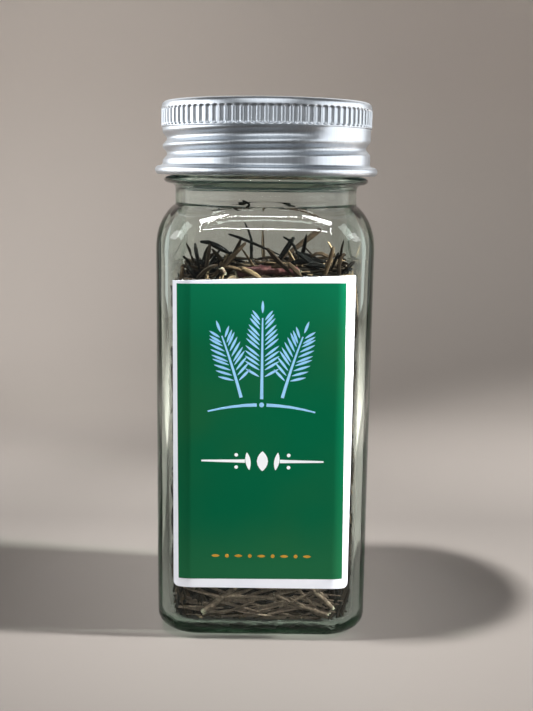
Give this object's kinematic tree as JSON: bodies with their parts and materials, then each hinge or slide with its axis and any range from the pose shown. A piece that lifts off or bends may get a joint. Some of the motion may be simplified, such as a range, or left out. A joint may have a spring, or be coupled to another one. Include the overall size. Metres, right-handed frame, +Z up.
{
  "type": "square glass spice jar of dried rosemary with a screw cap",
  "caption": "Square glass spice jar, filled with dried rosemary leaves, with a front label and a threaded aluminium cap that screws off.",
  "frame": {"origin": "centre of the jar's base, on the surface that it stands on", "axes": "+Z up along the jar and the cap's screw axis; the label faces -Y; +X is to the right of someone reading the label"},
  "size_m": [0.0482, 0.0482, 0.1129],
  "materials": {
    "jar_glass": "clear, faintly green, polished",
    "label_paper": "coated, green print on white",
    "dried_leaf": "dry, matte",
    "dried_stem": "dry bark, matte",
    "cap_aluminium": "satin",
    "liner_foam": "matte"
  },
  "bodies": {
    "jar_body": {"jar": "jar_glass", "label": "label_paper", "rosemary_leaves": "dried_leaf", "woody_stem_1": "dried_stem", "woody_stem_2": "dried_stem", "woody_stem_3": "dried_stem"},
    "liner_body": {"cap_liner": "liner_foam"},
    "cap_body": {"cap": "cap_aluminium"}
  },
  "joints": [
    {"name": "cap_lift", "type": "slide", "parent": "jar_body", "child": "liner_body", "axis": [0, 0, 1], "range_m": [0, 0.00397]},
    {"name": "cap_turn", "type": "hinge", "parent": "liner_body", "child": "cap_body", "pos_m": [0, 0, 0.105], "axis": [0, 0, 1], "range_deg": [0, 450]}
  ],
  "couplings": [
    {"joint": "cap_lift", "follows": "cap_turn", "m_per_rad": 0.00050532}
  ]
}
